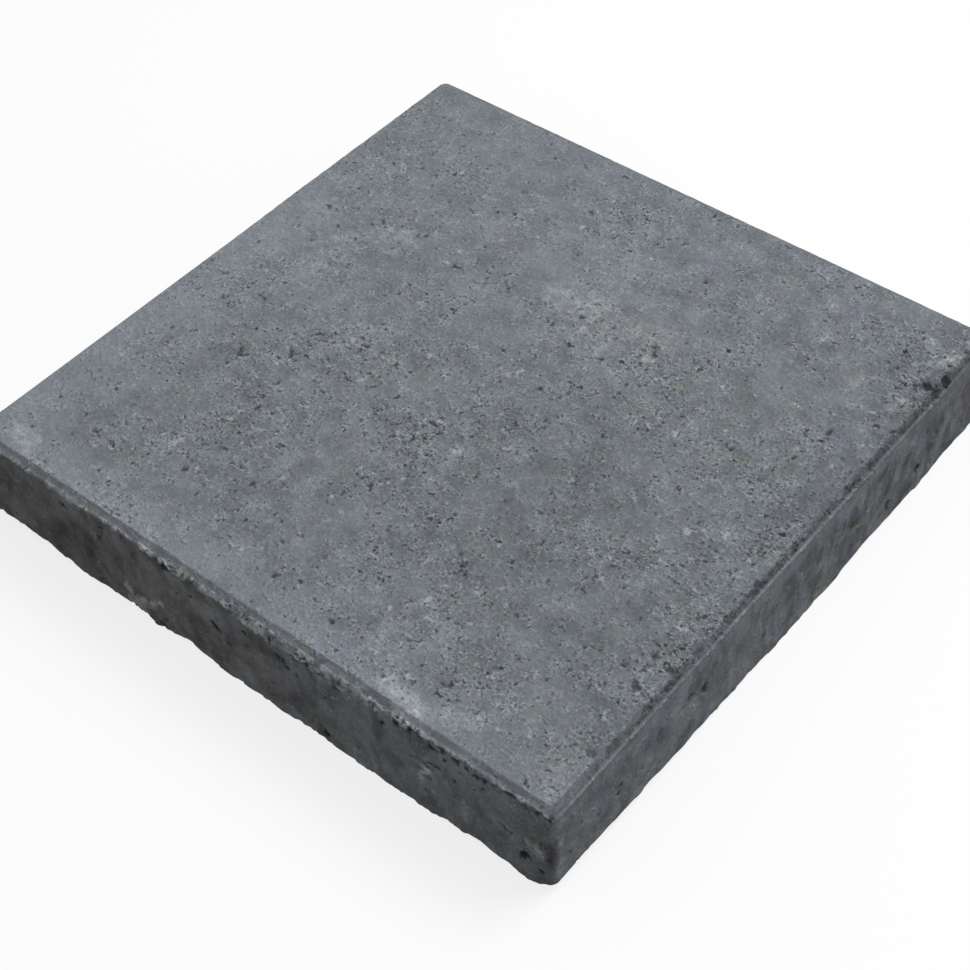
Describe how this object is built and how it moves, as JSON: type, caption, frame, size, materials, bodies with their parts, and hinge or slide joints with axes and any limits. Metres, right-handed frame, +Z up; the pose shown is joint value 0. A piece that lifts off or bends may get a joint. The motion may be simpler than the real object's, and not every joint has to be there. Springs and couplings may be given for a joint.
{
  "type": "concrete paving stone",
  "caption": "Square pressed-concrete paving slab with a stamped bevel and narrow ledge round the walking face and a crumbled lower arris, laid flat on a bed.",
  "frame": {"origin": "middle of the bed face, the face that lies on the ground", "axes": "+Z up through the walking face, +X and +Y along the two pairs of sides"},
  "size_m": [0.3, 0.3, 0.05],
  "materials": {
    "concrete": "rough grey dry-cast concrete, pitted, with smoother laitance near some edges"
  },
  "bodies": {
    "root": {"paving_stone": "concrete"}
  },
  "joints": []
}
